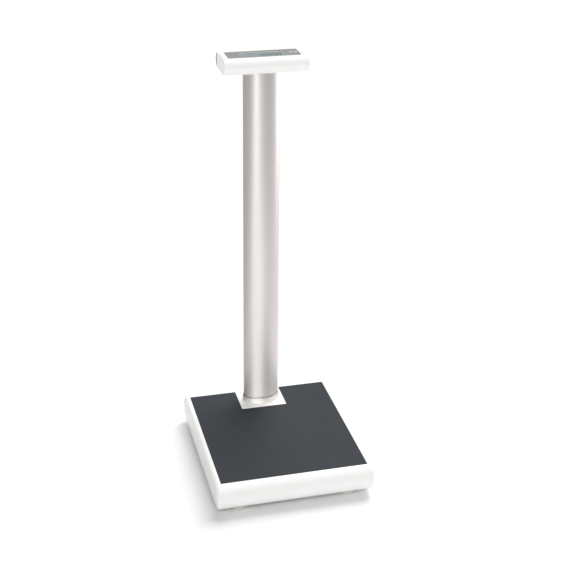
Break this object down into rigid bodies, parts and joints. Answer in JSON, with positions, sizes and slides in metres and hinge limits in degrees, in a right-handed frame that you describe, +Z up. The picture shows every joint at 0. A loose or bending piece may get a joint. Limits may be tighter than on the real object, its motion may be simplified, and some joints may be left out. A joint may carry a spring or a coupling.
{
  "type": "electronic column scale",
  "caption": "Low weighing platform with a dark mat, an oval column at its rear and a display head with a panel and keys on top.",
  "frame": {"origin": "on the floor at the centre of the platform's footprint", "axes": "+Z up along the column, +Y to the rear where the column stands, +X to the right seen from the front"},
  "size_m": [0.36, 0.427, 0.9368],
  "materials": {
    "white_cover": "satin moulded ABS",
    "mat_rubber": "matt anthracite sheet",
    "column_aluminium": "fine satin anodised",
    "collar_plastic": "satin moulded",
    "zinc_steel": "zinc plated",
    "cell_aluminium": "milled and clear anodised",
    "screw_steel": "bright zinc",
    "standoff_brass": "turned",
    "board_laminate": "solder-masked glass laminate",
    "cable_jacket": "soft PVC",
    "foot_plastic": "moulded, soft underside",
    "rear_cover_plastic": "fine moulded grain",
    "panel_film": "printed overlay film",
    "window_acrylic": "clear, flush",
    "lcd_glass": "reflective liquid crystal cell",
    "key_plastic": "satin moulded",
    "switch_plastic": "moulded"
  },
  "bodies": {
    "base": {"top_cover": "white_cover", "base_pan": "white_cover", "side_trim_left": "white_cover", "side_trim_right": "white_cover", "mat": "mat_rubber", "deck_plate": "zinc_steel", "frame_rail_left": "zinc_steel", "frame_rail_right": "zinc_steel", "cross_rail": "zinc_steel", "column_base_plate": "zinc_steel", "load_cell_front_left": "cell_aluminium", "load_cell_front_right": "cell_aluminium", "load_cell_rear_left": "cell_aluminium", "load_cell_rear_right": "cell_aluminium", "cell_spacers": "zinc_steel", "cell_screws": "screw_steel", "lock_nuts": "screw_steel", "pan_screws": "screw_steel", "junction_board": "board_laminate", "board_standoffs": "standoff_brass", "cell_cables": "cable_jacket", "signal_cable": "cable_jacket", "column": "column_aluminium", "base_collar": "collar_plastic", "column_screws": "screw_steel", "head_bracket": "cell_aluminium", "bracket_screws": "screw_steel", "head_lower_shell": "white_cover", "head_upper_shell": "white_cover", "head_end_cap_left": "white_cover", "head_end_cap_right": "white_cover", "head_rear_cover": "rear_cover_plastic", "head_screws": "screw_steel", "display_panel": "panel_film", "display_window": "window_acrylic", "lcd_module": "lcd_glass", "main_board": "board_laminate", "board_screws": "screw_steel", "key_switches": "switch_plastic"},
    "foot_front_left": {"foot_pad_front_left": "foot_plastic"},
    "stud_front_left": {"foot_stud_front_left": "screw_steel"},
    "foot_front_right": {"foot_pad_front_right": "foot_plastic"},
    "stud_front_right": {"foot_stud_front_right": "screw_steel"},
    "foot_rear_left": {"foot_pad_rear_left": "foot_plastic"},
    "stud_rear_left": {"foot_stud_rear_left": "screw_steel"},
    "foot_rear_right": {"foot_pad_rear_right": "foot_plastic"},
    "stud_rear_right": {"foot_stud_rear_right": "screw_steel"},
    "key_left": {"key_left": "key_plastic"},
    "key_right": {"key_right": "key_plastic"}
  },
  "joints": [
    {"name": "foot_front_left_height", "type": "slide", "parent": "base", "child": "foot_front_left", "axis": [0, 0, -1], "range_m": [-0.002, 0.008]},
    {"name": "foot_front_left_turn", "type": "hinge", "parent": "foot_front_left", "child": "stud_front_left", "pos_m": [-0.125, -0.1755, 0], "axis": [0, 0, 1], "range_deg": [-576, 2304]},
    {"name": "foot_front_right_height", "type": "slide", "parent": "base", "child": "foot_front_right", "axis": [0, 0, -1], "range_m": [-0.002, 0.008]},
    {"name": "foot_front_right_turn", "type": "hinge", "parent": "foot_front_right", "child": "stud_front_right", "pos_m": [0.125, -0.1755, 0], "axis": [0, 0, 1], "range_deg": [-576, 2304]},
    {"name": "foot_rear_left_height", "type": "slide", "parent": "base", "child": "foot_rear_left", "axis": [0, 0, -1], "range_m": [-0.002, 0.008]},
    {"name": "foot_rear_left_turn", "type": "hinge", "parent": "foot_rear_left", "child": "stud_rear_left", "pos_m": [-0.125, 0.1755, 0], "axis": [0, 0, 1], "range_deg": [-576, 2304]},
    {"name": "foot_rear_right_height", "type": "slide", "parent": "base", "child": "foot_rear_right", "axis": [0, 0, -1], "range_m": [-0.002, 0.008]},
    {"name": "foot_rear_right_turn", "type": "hinge", "parent": "foot_rear_right", "child": "stud_rear_right", "pos_m": [0.125, 0.1755, 0], "axis": [0, 0, 1], "range_deg": [-576, 2304]},
    {"name": "key_left_press", "type": "slide", "parent": "base", "child": "key_left", "axis": [0, 0, -1], "range_m": [0, 0.0006], "stiffness_N_per_m": 1500},
    {"name": "key_right_press", "type": "slide", "parent": "base", "child": "key_right", "axis": [0, 0, -1], "range_m": [0, 0.0006], "stiffness_N_per_m": 1500}
  ],
  "couplings": [
    {"joint": "foot_front_left_turn", "follows": "foot_front_left_height", "rad_per_m": 5026.5},
    {"joint": "foot_front_right_turn", "follows": "foot_front_right_height", "rad_per_m": 5026.5},
    {"joint": "foot_rear_left_turn", "follows": "foot_rear_left_height", "rad_per_m": 5026.5},
    {"joint": "foot_rear_right_turn", "follows": "foot_rear_right_height", "rad_per_m": 5026.5}
  ]
}
